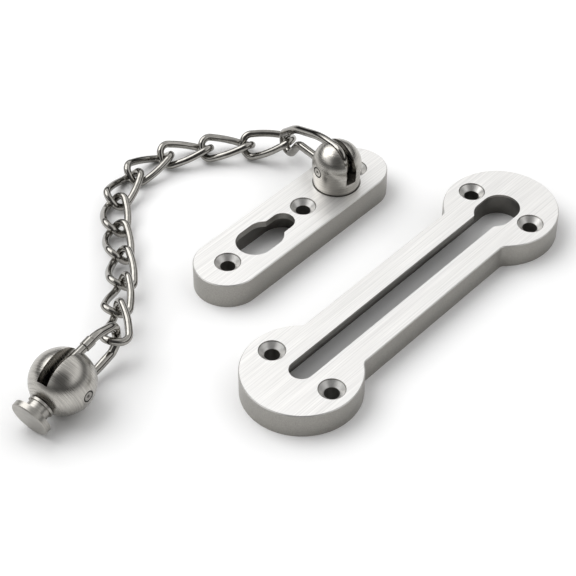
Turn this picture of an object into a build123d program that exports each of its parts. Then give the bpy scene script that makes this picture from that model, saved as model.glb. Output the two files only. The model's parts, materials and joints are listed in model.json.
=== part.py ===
from build123d import *
import math
import os

os.makedirs("parts", exist_ok=True)

# Screw holes, the same in both plates
screw_d = 4.8
sink_d = 8.4

# Slide track plate, centred on the origin with its back on z = 0
track_pitch_x = 96.6
track_pitch_y = 23.4
track_end_d = 37.2
track_neck_w = 23.5
track_t = 8.5
track_neck_fillet = 2.5
track_lip_t = 2.3
track_slot_w = 7.8
track_entry_w = 12.4
track_entry_len = 4.0
track_channel_w = 14.0
edge_break = 0.3

# Chain plate
plate_x = -29.4
plate_y = 47.4
plate_mid_x = 35.4
plate_far_x = 60.8
plate_post_x = 51.8
plate_w = 21.8
plate_t = 9.0
plate_lip_t = 2.3
key_wide_x = 12.6
key_wide_len = 4.5
key_narrow_x = 25.6
key_wide_w = 12.4
key_narrow_w = 7.8
key_pocket_w = 14.8
key_pocket_room = 0.6
shoulder_r = 1.2

# Swivel ball on the chain plate
post_d = 16.1
post_base_d = 15.1
post_gap = 0.35
post_h = 7.3
post_slot_w = 3.8
post_slot_floor = 3.4
post_pocket_r = 6.1
post_ramp = 5.75
post_slot_az = 77.8
stem_d = 5.0
stem_clear = 0.05
collar_d = 8.6
collar_t = 1.7
collar_room = 0.35

# Pins through the two balls
pin_d = 3.8
pin_ring = 0.35
pin_dimple_d = 1.2

# Chain wire and links
link_wire_d = 2.4
link_pitch = 14.1
link_half_w = 4.2
link_bend_r = 3.1
link_bow = 4.2
link_bow_r = 28.0
link_gap = 0.6
hook_room = 0.45
link_rest_z = 3.9
link_headings = [128.9, 136.8, 147.5, 175.8, 200.5, 227.4, 231.3, 229.0, 219.7, 225.3]
link_rolls = [-17, 0, 0, 0, 0, 0, 0, 11, 22, 33]
link_lifts = [0, 0, 0, 0, 0, 0, 0.9, 2.5, 4.5, 0]

# Long links, given in the plane of the loop from the pin centre as distance, height and bend radius
long_wire_d = 2.8
anchor_loop = [
    (-4.0, -3.3, 4.0),
    (-4.0, 6.9, 4.4),
    (9.0, 5.3, 30.0),
    (22.5, -0.3, 14.0),
    (29.5, -6.6, 3.0),
    (29.2, -11.7, 2.6),
    (25.3, -12.8, 2.4),
    (20.5, -5.6, 3.0),
]
end_loop = [
    (-4.4, -4.0, 4.2),
    (-4.4, 4.2, 4.2),
    (15.5, 6.5, 10.0),
    (23.6, 4.2, 3.2),
    (23.8, -3.0, 3.0),
    (21.0, -5.6, 2.4),
    (11.0, -7.6, 25.0),
]
anchor_hook_run = 4
end_hook_run = 3
weld_run = 1
weld_d = 3.4
weld_l = 3.6
weld_shift = 5.2
weld_bevel = 0.25

# End ball and stud
end_d = 20.2
end_slot_w = 3.8
end_slot_floor = 6.6
end_az = 185.0
end_tilt = -13.5
stud_seat = 0.6
stud_spigot_d = 4.0
stud_spigot_l = 2.2
stud_collar_d = 8.4
stud_collar_t = 0.8
stud_neck_d = 7.4
stud_neck_l = 3.0
stud_head_d = 12.8
stud_head_t = 2.0


def polar(az, el=0.0):
    """Unit direction from an azimuth and an elevation in degrees."""
    a = math.radians(az)
    e = math.radians(el)
    return Vector(math.cos(a) * math.cos(e), math.sin(a) * math.cos(e), math.sin(e))


UP = Vector(0, 0, 1)


def corner(points, radii, i):
    """Tangent points and arc middle of the rounded corner i of a closed polygon."""
    here = points[i]
    back = (points[i - 1] - here).normalized()
    ahead = (points[(i + 1) % len(points)] - here).normalized()
    half = back.get_angle(ahead) / 2
    reach = radii[i] / math.tan(math.radians(half))
    bisector = (back + ahead).normalized()
    middle = here + bisector * (radii[i] / math.sin(math.radians(half)) - radii[i])
    return here + back * reach, middle, here + ahead * reach


def run_middle(points, radii, i):
    """Middle of the straight run that leaves corner i, and its direction."""
    first = corner(points, radii, i)[2]
    last = corner(points, radii, (i + 1) % len(points))[0]
    return (first + last) * 0.5, (last - first).normalized()


def wire_loop(points, radii, wire_d):
    """Round wire bent along a closed polygon with rounded corners, in two halves that meet at mid-run."""
    count = len(points)
    corners = [corner(points, radii, i) for i in range(count)]
    middles = [run_middle(points, radii, i) for i in range(count)]
    with BuildPart() as loop:
        for first, last in ((0, count // 2), (count // 2, count)):
            start, heading = middles[first - 1]
            finish = middles[last - 1][0]
            with BuildLine() as path:
                here = start
                for i in range(first, last):
                    Line(here, corners[i][0])
                    ThreePointArc(*corners[i])
                    here = corners[i][2]
                Line(here, finish)
            with BuildSketch(Plane(start, z_dir=heading)):
                Circle(wire_d / 2)
            sweep(path=path.wires()[0])
    return loop


link_half_l = (link_pitch + link_wire_d + link_gap) / 2
hook_gap = (long_wire_d + link_wire_d) / 2 + hook_room


def tip_directions(heading, roll):
    """Wire directions at the two tips of a twisted link."""
    side = UP.cross(heading).normalized()
    lift = heading.cross(side)
    near = math.radians(45.0 + roll)
    far = math.radians(-45.0 + roll)
    tip_a = side * math.cos(near) + lift * math.sin(near)
    tip_b = side * math.cos(far) + lift * math.sin(far)
    return tip_a, tip_b


def hooked(wire_point, wire_dir, tip_dir, towards, reach):
    """Tip of a wire that crosses another one at a set distance, with its loop lying towards a direction."""
    away = wire_dir.cross(tip_dir).normalized()
    if away.dot(towards) < 0:
        away = away * -1
    return wire_point - away * reach


def loop_points(table, pin, along):
    """Loop polygon of a long link in the upright plane through its pin."""
    points = [pin + along * s + UP * h for s, h, r in table]
    return points, [r for s, h, r in table]


def shoulder_reach(wide_w, narrow_w):
    """Distance from the centre of a round end to where a narrower slot meets it."""
    return math.sqrt((wide_w / 2) ** 2 - (narrow_w / 2) ** 2)


# Slide track plate
half_x = track_pitch_x / 2
half_y = track_pitch_y / 2
with BuildPart() as track_plate:
    with BuildSketch(Plane.XY):
        Rectangle(track_pitch_x, track_neck_w)
    extrude(amount=track_t)
    for end_x in (-half_x, half_x):
        with BuildSketch(Plane((end_x, 0, 0))):
            Circle(track_end_d / 2)
        extrude(amount=track_t)
    neck_x = half_x - shoulder_reach(track_end_d, track_neck_w)
    inner = track_plate.edges().filter_by(Axis.Z).filter_by_position(Axis.X, -neck_x - 0.1, neck_x + 0.1)
    fillet(inner, track_neck_fillet)
    chamfer(track_plate.faces().sort_by(Axis.Z)[-1].outer_wire().edges(), edge_break)
    entry_x = half_x - track_entry_len
    step_x = entry_x - shoulder_reach(track_entry_w, track_slot_w)
    with BuildSketch(Plane((0, 0, -1))) as slide_slot:
        with Locations(((entry_x - half_x) / 2, 0)):
            SlotCenterToCenter(entry_x + half_x, track_slot_w)
        with Locations(((entry_x + half_x) / 2, 0)):
            SlotCenterToCenter(track_entry_len, track_entry_w)
        fillet(slide_slot.vertices().filter_by_position(Axis.X, step_x - 0.1, step_x + 0.1), shoulder_r)
    extrude(amount=track_t + 2, mode=Mode.SUBTRACT)
    with BuildSketch(Plane((0, 0, -1))):
        SlotCenterToCenter(track_pitch_x, track_channel_w)
    extrude(amount=track_t - track_lip_t + 1, mode=Mode.SUBTRACT)
    for hole_x in (-half_x, half_x):
        for hole_y in (-half_y, half_y):
            with Locations((hole_x, hole_y, track_t)):
                CounterSinkHole(screw_d / 2, sink_d / 2, counter_sink_angle=90)
track_plate.part.label = "track_plate"
export_step(track_plate.part, "parts/track_plate.step")

# Chain plate with its parking keyhole and the bore for the swivel stem
post_x = plate_x + plate_post_x
collar_room_r = collar_d / 2 + collar_room
collar_room_t = collar_t + collar_room
with BuildPart() as chain_plate:
    with BuildSketch(Plane((plate_x + plate_far_x / 2, plate_y, 0))):
        SlotCenterToCenter(plate_far_x, plate_w)
    extrude(amount=plate_t)
    chamfer(chain_plate.faces().sort_by(Axis.Z)[-1].outer_wire().edges(), edge_break)
    key_x = key_wide_x + key_wide_len
    step_x = key_x + shoulder_reach(key_wide_w, key_narrow_w)
    with BuildSketch(Plane((plate_x, plate_y, -1))) as key_slot:
        with Locations(((key_x + key_narrow_x) / 2, 0)):
            SlotCenterToCenter(key_narrow_x - key_x, key_narrow_w)
        with Locations(((key_x + key_wide_x) / 2, 0)):
            SlotCenterToCenter(key_wide_len, key_wide_w)
        fillet(key_slot.vertices().filter_by_position(Axis.X, step_x - 0.1, step_x + 0.1), shoulder_r)
    extrude(amount=plate_t + 2, mode=Mode.SUBTRACT)
    pocket_near = key_wide_x - key_wide_w / 2 - key_pocket_room
    pocket_far = key_narrow_x + stud_head_d / 2 + key_pocket_room
    with BuildSketch(Plane((plate_x + (pocket_near + pocket_far) / 2, plate_y, -1))):
        SlotOverall(pocket_far - pocket_near, key_pocket_w)
    extrude(amount=plate_t - plate_lip_t + 1, mode=Mode.SUBTRACT)
    for hole_x in (0, plate_mid_x, plate_far_x):
        with Locations((plate_x + hole_x, plate_y, plate_t)):
            CounterSinkHole(screw_d / 2, sink_d / 2, counter_sink_angle=90)
    with BuildSketch(Plane((post_x, plate_y, -1))):
        Circle(stem_d / 2 + stem_clear)
    extrude(amount=plate_t + 2, mode=Mode.SUBTRACT)
    with BuildSketch(Plane((post_x, plate_y, -1))):
        Circle(collar_room_r)
    extrude(amount=1 + collar_room_t, mode=Mode.SUBTRACT)
chain_plate.part.label = "chain_plate"
export_step(chain_plate.part, "parts/chain_plate.step")

# Swivel ball with its stem, slotted for the first long link
base_z = plate_t + post_gap
pin_z = base_z + post_h
post_centre = Vector(post_x, plate_y, pin_z)
post_along = polar(post_slot_az)
post_plane = Plane(post_centre, x_dir=post_along, z_dir=post_along.cross(UP))
post_turn = Plane(Vector(post_x, plate_y, 0), x_dir=(1, 0, 0), z_dir=(0, -1, 0))
pin_bore = Plane(post_centre, x_dir=UP, z_dir=post_along.cross(UP))
anchor_points, anchor_radii = loop_points(anchor_loop, post_centre, post_along)
stem_bottom = collar_room_t - collar_t - collar_room / 2
lower_run = anchor_points[0] - anchor_points[-1]
ramp_drop = math.atan2(lower_run.Z, -lower_run.dot(post_along))
with BuildPart() as swivel_ball:
    with BuildSketch(post_turn):
        with BuildLine():
            Polyline((0, stem_bottom), (stem_d / 2, stem_bottom), (stem_d / 2, base_z))
            Line((stem_d / 2, base_z), (post_base_d / 2, base_z))
            Line((post_base_d / 2, base_z), (post_d / 2, pin_z))
            RadiusArc((post_d / 2, pin_z), (0, pin_z + post_d / 2), -post_d / 2)
            Line((0, pin_z + post_d / 2), (0, stem_bottom))
        make_face()
    revolve(axis=Axis((post_x, plate_y, 0), (0, 0, 1)))
    with BuildSketch(post_plane):
        with BuildLine():
            Polyline(
                (-post_d, -post_slot_floor),
                (0, -post_slot_floor),
                (0, post_d),
                (-post_d, post_d),
                close=True,
            )
        make_face()
        Circle(post_pocket_r)
        with BuildLine():
            Polyline(
                (-post_ramp * math.sin(ramp_drop), -post_ramp * math.cos(ramp_drop)),
                (post_d, -post_ramp / math.cos(ramp_drop) - post_d * math.tan(ramp_drop)),
                (post_d, post_d),
                (-post_ramp * math.sin(ramp_drop), post_d),
                close=True,
            )
        make_face()
    extrude(amount=post_slot_w / 2, both=True, mode=Mode.SUBTRACT)
    with BuildSketch(pin_bore):
        Circle(pin_d / 2)
    extrude(amount=post_d, both=True, mode=Mode.SUBTRACT)
swivel_ball.part.label = "swivel_ball"
export_step(swivel_ball.part, "parts/swivel_ball.step")

with BuildPart() as stem_collar:
    with BuildSketch(Plane((post_x, plate_y, stem_bottom))):
        Circle(collar_d / 2)
        Circle(stem_d / 2, mode=Mode.SUBTRACT)
    extrude(amount=collar_t)
stem_collar.part.label = "stem_collar"
export_step(stem_collar.part, "parts/stem_collar.step")


def cross_pin(centre, along, ball_d):
    """Pin through a ball along a horizontal line, chamfered and dimpled at both ends."""
    half = math.sqrt((ball_d / 2) ** 2 - (pin_d / 2) ** 2)
    with BuildPart() as pin:
        with BuildSketch(Plane(centre, x_dir=UP, z_dir=along)):
            Circle(pin_d / 2)
        extrude(amount=half, both=True)
        chamfer(pin.edges().filter_by(GeomType.CIRCLE), pin_ring)
        for sign in (-1, 1):
            with BuildSketch(Plane(centre + along * (sign * half), x_dir=UP, z_dir=along * -sign)):
                Circle(pin_dimple_d / 2)
            extrude(amount=pin_dimple_d / 3, taper=35, mode=Mode.SUBTRACT)
    return pin


anchor_pin = cross_pin(post_centre, post_along.cross(UP), post_d)
anchor_pin.part.label = "anchor_pin"
export_step(anchor_pin.part, "parts/anchor_pin.step")

# First long link, hung on the pin of the swivel ball
anchor_link = wire_loop(anchor_points, anchor_radii, long_wire_d)
anchor_link.part.label = "anchor_link"
export_step(anchor_link.part, "parts/anchor_link.step")

# Twisted chain links, each hooked on the tip of the one before and settled on its rest height
end_back = polar(end_az + 180)
end_points, end_radii = loop_points(end_loop, Vector(0, 0, 0), end_back)
end_hook, end_hook_dir = run_middle(end_points, end_radii, end_hook_run)
end_inward = end_hook_dir.cross(end_back.cross(UP)).normalized()

link_radii = [link_bend_r, link_bend_r, link_bow_r] * 2
joints = []
axis_point, axis_dir = run_middle(anchor_points, anchor_radii, anchor_hook_run)
for n, (heading, roll, lift) in enumerate(zip(link_headings, link_rolls, link_lifts)):
    name = "chain_link_%02d" % (n + 1)
    last = n + 1 == len(link_headings)
    reach = hook_gap if n == 0 else link_wire_d + link_gap
    rise = 0.0
    for step in range(8):
        direction = polar(heading, rise)
        tip_a, tip_b = tip_directions(direction, roll)
        tip = hooked(axis_point, axis_dir, tip_a, direction, reach)
        goal = link_rest_z + lift
        if last:
            offset_z = hooked(Vector(0, 0, 0), tip_b, end_hook_dir, end_inward, hook_gap).Z
            goal = end_d / 2 + end_hook.Z - offset_z
        rise = math.degrees(math.asin((goal - tip.Z) / (2 * link_half_l)))
    end = tip + direction * (2 * link_half_l)
    middle = (tip + end) / 2
    bow = (tip_a + tip_b).normalized() * link_bow
    points = [
        tip - tip_a * link_half_w,
        tip + tip_a * link_half_w,
        middle + bow,
        end + tip_b * link_half_w,
        end - tip_b * link_half_w,
        middle - bow,
    ]
    joints.append((name, axis_point, axis_dir, points))
    link = wire_loop(points, link_radii, link_wire_d)
    link.part.label = name
    export_step(link.part, "parts/%s.step" % name)
    axis_point = end
    axis_dir = tip_b

# Second long link, hooked on the last chain link
end_centre = hooked(axis_point, axis_dir, end_hook_dir, end_inward, hook_gap) - end_hook
end_points, end_radii = loop_points(end_loop, end_centre, end_back)
joints.append(("end_link", axis_point, axis_dir, end_points))
end_wire = wire_loop(end_points, end_radii, long_wire_d)
weld_middle, weld_dir = run_middle(end_points, end_radii, weld_run)
with BuildPart() as end_link:
    add(end_wire.part)
    with BuildSketch(Plane(weld_middle + weld_dir * weld_shift, x_dir=end_back.cross(UP), z_dir=weld_dir)):
        Circle(weld_d / 2)
    extrude(amount=weld_l / 2, both=True)
    weld_rims = end_link.edges().filter_by(GeomType.CIRCLE)
    chamfer(weld_rims.filter_by(lambda rim: abs(rim.radius - weld_d / 2) < 0.01), weld_bevel)
end_link.part.label = "end_link"
export_step(end_link.part, "parts/end_link.step")

# End ball, slotted for the second long link, with its stud seat
end_along = polar(end_az)
end_axis = polar(end_az, end_tilt)
end_across = end_along.cross(UP)
end_plane = Plane(end_centre, x_dir=end_axis, z_dir=end_across)
stud_plane = Plane(end_centre, x_dir=end_across, z_dir=end_axis)
seat = end_d / 2 - stud_seat
with BuildPart() as end_ball:
    with BuildSketch(end_plane):
        with BuildLine():
            RadiusArc((-end_d / 2, 0), (end_d / 2, 0), end_d / 2)
            Line((end_d / 2, 0), (-end_d / 2, 0))
        make_face()
    revolve(axis=Axis(end_centre, end_axis))
    with BuildSketch(end_plane):
        with BuildLine():
            Polyline(
                (end_slot_floor, -end_d),
                (end_slot_floor, end_d),
                (-end_d, end_d),
                (-end_d, -end_d),
                close=True,
            )
        make_face()
    extrude(amount=end_slot_w / 2, both=True, mode=Mode.SUBTRACT)
    with BuildSketch(Plane(end_centre, x_dir=UP, z_dir=end_across)):
        Circle(pin_d / 2)
    extrude(amount=end_d, both=True, mode=Mode.SUBTRACT)
    with BuildSketch(stud_plane.offset(seat)):
        Circle(end_d / 2)
    extrude(amount=end_d, mode=Mode.SUBTRACT)
    with BuildSketch(stud_plane.offset(seat - stud_spigot_l)):
        Circle(stud_spigot_d / 2)
    extrude(amount=end_d, mode=Mode.SUBTRACT)
end_ball.part.label = "end_ball"
export_step(end_ball.part, "parts/end_ball.step")

end_pin = cross_pin(end_centre, end_across, end_d)
end_pin.part.label = "end_pin"
export_step(end_pin.part, "parts/end_pin.step")

# Button stud of the end ball
with BuildPart() as stud:
    depth = seat - stud_spigot_l
    for length, dia in (
        (stud_spigot_l, stud_spigot_d),
        (stud_collar_t, stud_collar_d),
        (stud_neck_l, stud_neck_d),
        (stud_head_t, stud_head_d),
    ):
        with BuildSketch(stud_plane.offset(depth)):
            Circle(dia / 2)
        extrude(amount=length)
        depth += length
    chamfer(stud.faces().sort_by(Axis(end_centre, end_axis))[-1].edges(), edge_break)
stud.part.label = "stud"
export_step(stud.part, "parts/stud.step")
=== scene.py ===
import json
import math
from collections import namedtuple

import bpy
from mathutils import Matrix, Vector


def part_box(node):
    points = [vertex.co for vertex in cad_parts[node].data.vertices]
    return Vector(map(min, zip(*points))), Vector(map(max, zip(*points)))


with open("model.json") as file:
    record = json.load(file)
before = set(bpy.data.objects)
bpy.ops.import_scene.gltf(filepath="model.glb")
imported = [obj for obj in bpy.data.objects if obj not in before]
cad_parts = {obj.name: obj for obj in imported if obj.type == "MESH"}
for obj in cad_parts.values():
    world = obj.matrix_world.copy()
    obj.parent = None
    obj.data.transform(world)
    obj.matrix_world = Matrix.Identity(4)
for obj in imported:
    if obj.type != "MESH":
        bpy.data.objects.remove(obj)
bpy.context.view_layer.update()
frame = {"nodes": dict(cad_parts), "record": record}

scene = bpy.context.scene
nodes = frame["nodes"]
hinges = {joint["name"]: joint for joint in frame["record"]["behaviour"]["joints"]}

LINKS = [name for name in nodes if name.startswith("chain_link_")]
WIRES = ["anchor_link"] + LINKS + ["end_link"]

# Places and sizes on the solids, in metres
PIN_RADIUS = 0.0019
TRACK_HOLE_X = 0.0483
TRACK_HOLE_Y = 0.0117
CHAIN_PLATE_Y = 0.0474
CHAIN_HOLES_X = (-0.0294, 0.006, 0.0314)
KEYHOLE_X = -0.0102
POST_X = 0.0224
HOLE_RADIUS = 0.0025
RIM_RADIUS = 0.00408
RIM_HALF_WIDTH = 0.00014
RIM_BOTTOM = 0.006

# Grain of each finish, as noise cells per metre along X, Y and Z
BRUSHED = (30.0, 2600.0, 2600.0)
TURNED = (140.0, 140.0, 5200.0)
SPECKLED = (2600.0, 2600.0, 2600.0)
GROUND = (2200.0, 2200.0, 2200.0)
POLISHED = (700.0, 700.0, 700.0)
CLOUDY = (90.0, 90.0, 90.0)
UNTURNED = (0.0, 0.0, 0.0)

# Share of the noise's range that shows in colour and in roughness
TONE_SPAN = (0.3, 0.7)
ROUGH_SPAN = (0.25, 0.75)
BUMP_DEPTH = 0.0001

# Height of a face's normal from a side to a top
SIDE_TO_TOP = (0.35, 0.95)

# Painted shade on a pin's end by the share of its radius, from the dark dimple to the dark ring at
# its edge
PIN_STOPS = ((0.1, 0.3), (0.38, 1.0), (0.7, 1.0), (0.84, 0.06))

# Studio: brightness of the room by the height of a direction, the dark screen and the floor
SKY_STOPS = ((0.0, 0.65), (0.1, 0.65), (0.15, 0.03), (0.34, 0.03), (0.5, 0.95), (0.6, 1.32),
             (0.76, 0.84), (1.0, 0.7))
SCREEN_AT = (222.0, 48.0)
SCREEN_EDGE = (0.72, 0.95)
SCREEN_LEVELS = (1.06, 0.1)
FLOOR_SIZE = 6.0
FLOOR_GREY = 0.95
FLOOR_GLOW = 0.14
CONTACT_SHADE_REACH = 0.02
CONTACT_SHADE_POWER = 2.0
KEY_AT = (106.0, 54.0)
KEY_DISTANCE = 1.2
KEY_SIZE = 1.0
KEY_POWER = 7.5

# Camera of the photograph and the point on the floor that it and the lamp look at
CAMERA_AT = (-0.31967, -0.23727, 0.38549)
CAMERA_LENS = 111.45
TARGET = Vector((-0.01864, 0.03188, 0.0))

# An upright well: its middle, half its straight length along X, its radius and its top
Well = namedtuple("Well", "x y half radius top")


def direction(az, el):
    """Unit direction from an azimuth and an elevation in degrees."""
    a = math.radians(az)
    e = math.radians(el)
    return Vector((math.cos(a) * math.cos(e), math.sin(a) * math.cos(e), math.sin(e)))


def grey(level, warmth=0.034):
    """Steel grey of a given level, with a little less green and still less blue."""
    return (level, level * (1.0 - warmth), level * (1.0 - 3.0 * warmth))


def middle(name):
    """Middle of a node's box at rest."""
    low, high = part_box(name)
    return (Vector(low) + Vector(high)) / 2


def new_material(name):
    """A node material with its principled shader, ready for its inputs."""
    mat = bpy.data.materials.new(name)
    mat.use_nodes = True
    tree = mat.node_tree
    return mat, tree, tree.nodes["Principled BSDF"]


def put(tree, kind, **values):
    """A new node with its plain properties set."""
    node = tree.nodes.new(kind)
    for key, value in values.items():
        setattr(node, key, value)
    return node


def feed(tree, node, values):
    """Gives a node's inputs in turn an output of another node or a plain value."""
    for socket, value in zip(node.inputs, values):
        if isinstance(value, bpy.types.NodeSocket):
            tree.links.new(value, socket)
        else:
            socket.default_value = value


def calc(tree, operation, *values):
    """Result of a sum on numbers."""
    node = put(tree, "ShaderNodeMath", operation=operation)
    feed(tree, node, values)
    return node.outputs["Value"]


def vector_calc(tree, operation, *values):
    """Result of a sum on vectors, which is a number for a length or a dot product."""
    node = put(tree, "ShaderNodeVectorMath", operation=operation)
    feed(tree, node, values)
    return node.outputs["Value" if operation in ("LENGTH", "DOT_PRODUCT") else "Vector"]


def highest(tree, values):
    """Highest of several numbers."""
    total = values[0]
    for value in values[1:]:
        total = calc(tree, "MAXIMUM", total, value)
    return total


def coordinate(tree, kind):
    """A texture coordinate and its height."""
    coord = put(tree, "ShaderNodeTexCoord")
    split = put(tree, "ShaderNodeSeparateXYZ")
    tree.links.new(coord.outputs[kind], split.inputs["Vector"])
    return coord.outputs[kind], split.outputs["Z"]


def rescale(tree, value, old, new=(0.0, 1.0), curve="LINEAR"):
    """Number taken from one range to another."""
    node = put(tree, "ShaderNodeMapRange", interpolation_type=curve)
    for key, level in zip(("From Min", "From Max", "To Min", "To Max"), (*old, *new)):
        node.inputs[key].default_value = level
    tree.links.new(value, node.inputs["Value"])
    return node.outputs["Result"]


def ramp(tree, value, stops):
    """Colour through stops in rising order, each a place and a colour."""
    node = put(tree, "ShaderNodeValToRGB")
    elements = node.color_ramp.elements
    for index, (place, colour) in enumerate((stops[0], stops[-1])):
        elements[index].position = place
        elements[index].color = (*colour, 1.0)
    for place, colour in stops[1:-1]:
        elements.new(place).color = (*colour, 1.0)
    tree.links.new(value, node.inputs["Fac"])
    return node.outputs["Color"]


def levels(stops):
    """Stops of plain grey from places and brightnesses."""
    return [(place, (level, level, level)) for place, level in stops]


def tones(tree, value, dark, light):
    """Colour between a dark and a light one by a noise level."""
    return ramp(tree, value, tuple(zip(TONE_SPAN, (dark, light))))


def noise(tree, stretch, detail=3.0, rough=0.55, turn=UNTURNED):
    """Noise over the object's own coordinates, turned and then scaled along each axis."""
    coord = put(tree, "ShaderNodeTexCoord")
    mapping = put(tree, "ShaderNodeMapping", vector_type="TEXTURE")
    mapping.inputs["Rotation"].default_value = turn
    mapping.inputs["Scale"].default_value = [1.0 / scale for scale in stretch]
    tex = put(tree, "ShaderNodeTexNoise", noise_dimensions="3D")
    tex.inputs["Scale"].default_value = 1.0
    tex.inputs["Detail"].default_value = detail
    tex.inputs["Roughness"].default_value = rough
    tree.links.new(coord.outputs["Object"], mapping.inputs["Vector"])
    tree.links.new(mapping.outputs["Vector"], tex.inputs["Vector"])
    return tex.outputs["Fac"]


def mix(tree, factor, first, second, blend="MIX"):
    """Colour of two others by a factor."""
    node = put(tree, "ShaderNodeMix", data_type="RGBA", blend_type=blend)
    if isinstance(factor, bpy.types.NodeSocket):
        tree.links.new(factor, node.inputs["Factor"])
    else:
        node.inputs["Factor"].default_value = factor
    tree.links.new(first, node.inputs["A"])
    tree.links.new(second, node.inputs["B"])
    return node.outputs["Result"]


def facing_up(tree):
    """One on faces that look straight up, nought on upright sides, from the object's normals."""
    return rescale(tree, coordinate(tree, "Normal")[1], SIDE_TO_TOP)


def offset_from(tree, place, x, y):
    """Level distance of a place from an upright axis, as a vector."""
    offset = vector_calc(tree, "SUBTRACT", place, (x, y, 0.0))
    return vector_calc(tree, "MULTIPLY", offset, (1.0, 1.0, 0.0))


def in_wells(tree, wells):
    """One inside any of several upright wells."""
    place, height = coordinate(tree, "Object")
    masks = []
    for well in wells:
        offset = vector_calc(tree, "ABSOLUTE", offset_from(tree, place, well.x, well.y))
        past = vector_calc(tree, "SUBTRACT", offset, (well.half, 0.0, 0.0))
        past = vector_calc(tree, "MAXIMUM", past, (0.0, 0.0, 0.0))
        near = calc(tree, "LESS_THAN", vector_calc(tree, "LENGTH", past), well.radius)
        masks.append(calc(tree, "MULTIPLY", near, calc(tree, "LESS_THAN", height, well.top)))
    return highest(tree, masks)


def on_rims(tree, holes):
    """One on the upper edges of the countersinks of several holes."""
    place, height = coordinate(tree, "Object")
    masks = []
    for x, y in holes:
        reach = vector_calc(tree, "LENGTH", offset_from(tree, place, x, y))
        masks.append(calc(tree, "COMPARE", reach, RIM_RADIUS, RIM_HALF_WIDTH))
    above = calc(tree, "GREATER_THAN", height, RIM_BOTTOM)
    return calc(tree, "MULTIPLY", highest(tree, masks), above)


def pin_shade_rings(tree, hinge):
    """Grey with painted shade: a dark ring at the edge of a round pin and a dark dimple in its
    middle.
    """
    place = coordinate(tree, "Object")[0]
    offset = vector_calc(tree, "SUBTRACT", place, hinge["pos_m"])
    aside = vector_calc(tree, "CROSS_PRODUCT", offset, hinge["axis"])
    share = calc(tree, "DIVIDE", vector_calc(tree, "LENGTH", aside), PIN_RADIUS)
    return ramp(tree, share, levels(PIN_STOPS))


def satin(name, stretch, dark, light, rough, strength, side=None, wells=None, holes=None,
          hinge=None, turn=UNTURNED, metal=1.0):
    """Satin steel with a fine grain along the direction that has the fewest noise cells, and with
    painted shade where asked: on the sides, in wells, on hole rims and on a pin's end.
    """
    mat, tree, shader = new_material(name)
    grain = noise(tree, stretch, detail=4.0, rough=0.6, turn=turn)
    cloud = noise(tree, CLOUDY, detail=2.0)
    colour = tones(tree, grain, dark, light)
    if side:
        # painted shade: the upright sides get a darker tone than the tops, over a speckled grain
        shaded_flank = tones(tree, noise(tree, SPECKLED), *side)
        colour = mix(tree, facing_up(tree), shaded_flank, colour)
    if wells:
        # painted shade: a dark tone inside the wells below their tops
        painted_recess_shade = tones(tree, cloud, grey(0.13), grey(0.22))
        colour = mix(tree, in_wells(tree, wells), colour, painted_recess_shade)
    if holes:
        # painted shade: a thin dark ring along the upper edge of each countersink
        painted_rim_shade = tones(tree, cloud, grey(0.16), grey(0.3))
        colour = mix(tree, on_rims(tree, holes), colour, painted_rim_shade)
    if hinge:
        # painted shade on the pin's edge ring and dimple
        colour = mix(tree, 1.0, colour, pin_shade_rings(tree, hinge), "MULTIPLY")
    tree.links.new(colour, shader.inputs["Base Color"])
    half_rough = [level / 2 for level in rough]
    parts = [rescale(tree, value, ROUGH_SPAN, half_rough) for value in (grain, cloud)]
    tree.links.new(calc(tree, "ADD", *parts), shader.inputs["Roughness"])
    shader.inputs["Metallic"].default_value = metal
    relief = put(tree, "ShaderNodeBump")
    relief.inputs["Strength"].default_value = strength
    relief.inputs["Distance"].default_value = BUMP_DEPTH
    tree.links.new(grain, relief.inputs["Height"])
    tree.links.new(relief.outputs["Normal"], shader.inputs["Normal"])
    return mat


def dress(mat, *names):
    """Gives nodes a material as their only slot."""
    for name in names:
        slots = nodes[name].data.materials
        slots.clear()
        slots.append(mat)


def aim(data, place):
    """A new lamp or camera at a place, looking at the target."""
    obj = bpy.data.objects.new(data.name, data)
    scene.collection.objects.link(obj)
    obj.location = place
    obj.rotation_euler = (TARGET - obj.location).to_track_quat("-Z", "Y").to_euler()
    return obj


# Plates, brushed on top, with painted shade on the speckled sides, in their slots and bores and round
# the post's foot
track_holes = [(x, y) for x in (-TRACK_HOLE_X, TRACK_HOLE_X) for y in (-TRACK_HOLE_Y, TRACK_HOLE_Y)]
chain_holes = [(x, CHAIN_PLATE_Y) for x in CHAIN_HOLES_X]
# wells painted dark below their tops as shade in the slots, keyhole and bores
plate_wells = [
    Well(x=0.0, y=0.0, half=TRACK_HOLE_X, radius=0.0071, top=0.0077),
    Well(x=KEYHOLE_X, y=CHAIN_PLATE_Y, half=0.006, radius=0.0075, top=0.0066),
    # painted contact shadow: a dark ring on the plate round the foot of the swivel ball
    Well(x=POST_X, y=CHAIN_PLATE_Y, half=0.0, radius=0.0079, top=0.0092),
]
for holes, top in ((track_holes, 0.0066), (chain_holes, 0.0071)):
    plate_wells += [Well(x, y, half=0.0, radius=HOLE_RADIUS, top=top) for x, y in holes]
plate_mat = satin("satin_plate", BRUSHED, grey(0.75, 0.01), grey(0.96, 0.01), rough=(0.32, 0.42),
                  strength=0.14, side=(grey(0.3), grey(0.39)), wells=plate_wells,
                  holes=track_holes + chain_holes, metal=0.7)
dress(plate_mat, "track_plate", "chain_plate")

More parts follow.
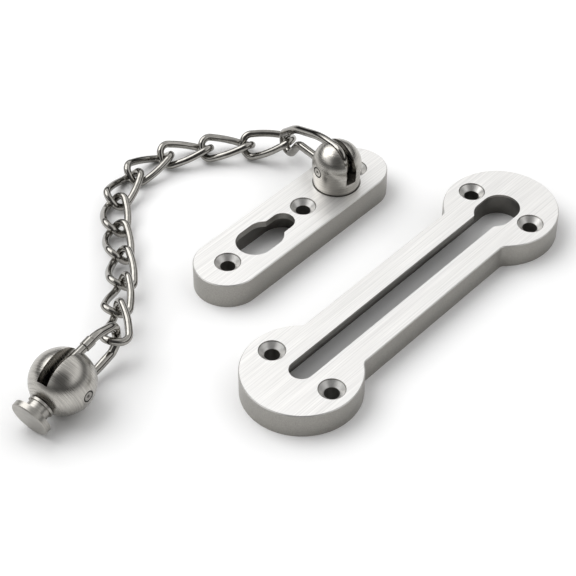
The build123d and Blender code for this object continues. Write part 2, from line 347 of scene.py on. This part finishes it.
# Balls and stud, turned about their own axes
stud_turn = (middle("stud") - middle("end_ball")).to_track_quat("Z", "Y").to_euler()
post_mat = satin("turned_post", TURNED, grey(0.32), grey(0.56), rough=(0.23, 0.33), strength=0.06)
end_mat = satin("turned_end", TURNED, grey(0.32), grey(0.56), rough=(0.23, 0.33), strength=0.06,
                turn=stud_turn)
stud_mat = satin("turned_stud", TURNED, grey(0.3), grey(0.44), rough=(0.3, 0.42), strength=0.06,
                 turn=stud_turn)
dress(post_mat, "swivel_ball")
dress(end_mat, "end_ball")
dress(stud_mat, "stud")

# Chain, collar and pins
wire_mat = satin("polished_wire", POLISHED, grey(0.26), grey(0.36), rough=(0.06, 0.12), strength=0.02)
collar_mat = satin("ground_collar", GROUND, grey(0.3), grey(0.42), rough=(0.24, 0.36), strength=0.08)
dress(wire_mat, *WIRES)
dress(collar_mat, "stem_collar")
for name, hinge in (("anchor_pin", "anchor_link_swing"), ("end_pin", "end_ball_swing")):
    pin_mat = satin("ground_" + name, GROUND, grey(0.26), grey(0.38), rough=(0.3, 0.4), strength=0.08,
                    hinge=hinges[hinge])
    dress(pin_mat, name)

# Floor, white to the eye and to reflections from its glow, which fades near the objects as a painted
# contact shadow
bpy.ops.mesh.primitive_plane_add(size=FLOOR_SIZE, location=(0.0, 0.0, 0.0))
floor = bpy.context.object
floor.name = "floor"
floor_mat, tree, shader = new_material("pale_floor")
shader.inputs["Base Color"].default_value = (FLOOR_GREY, FLOOR_GREY, FLOOR_GREY, 1.0)
shader.inputs["Roughness"].default_value = 0.9
shader.inputs["Specular IOR Level"].default_value = 0.1
shader.inputs["Emission Color"].default_value = (1.0, 1.0, 1.0, 1.0)
rays = put(tree, "ShaderNodeLightPath").outputs
seen = highest(tree, [rays["Is Camera Ray"], rays["Is Glossy Ray"], rays["Is Transmission Ray"]])
# painted contact shadow: the glow fades where the objects stand close over the floor
contact_shade = put(tree, "ShaderNodeAmbientOcclusion", samples=8)
contact_shade.inputs["Distance"].default_value = CONTACT_SHADE_REACH
glow = calc(tree, "MULTIPLY", calc(tree, "POWER", contact_shade.outputs["AO"], CONTACT_SHADE_POWER), FLOOR_GLOW)
tree.links.new(calc(tree, "MULTIPLY", seen, glow), shader.inputs["Emission Strength"])
floor.data.materials.append(floor_mat)

# Studio room with pale walls, a dark band above them, a pale ceiling, and a dark screen by the camera
world = bpy.data.worlds.new("studio")
scene.world = world
world.use_nodes = True
tree = world.node_tree
background = tree.nodes["Background"]
way, height = coordinate(tree, "Generated")
tree.links.new(ramp(tree, height, levels(SKY_STOPS)), background.inputs["Color"])
near = vector_calc(tree, "DOT_PRODUCT", way, direction(*SCREEN_AT))
shade = rescale(tree, near, SCREEN_EDGE, SCREEN_LEVELS, "SMOOTHSTEP")
tree.links.new(shade, background.inputs["Strength"])

# Square soft box
lamp = bpy.data.lights.new("key_light", "AREA")
lamp.shape = "SQUARE"
lamp.size = KEY_SIZE
lamp.energy = KEY_POWER
aim(lamp, TARGET + direction(*KEY_AT) * KEY_DISTANCE)

# Camera at the photograph's place
camera_data = bpy.data.cameras.new("camera")
camera_data.sensor_width = 36.0
camera_data.lens = CAMERA_LENS
camera_data.clip_start = 0.01
scene.camera = aim(camera_data, CAMERA_AT)

scene.view_settings.view_transform = "Standard"
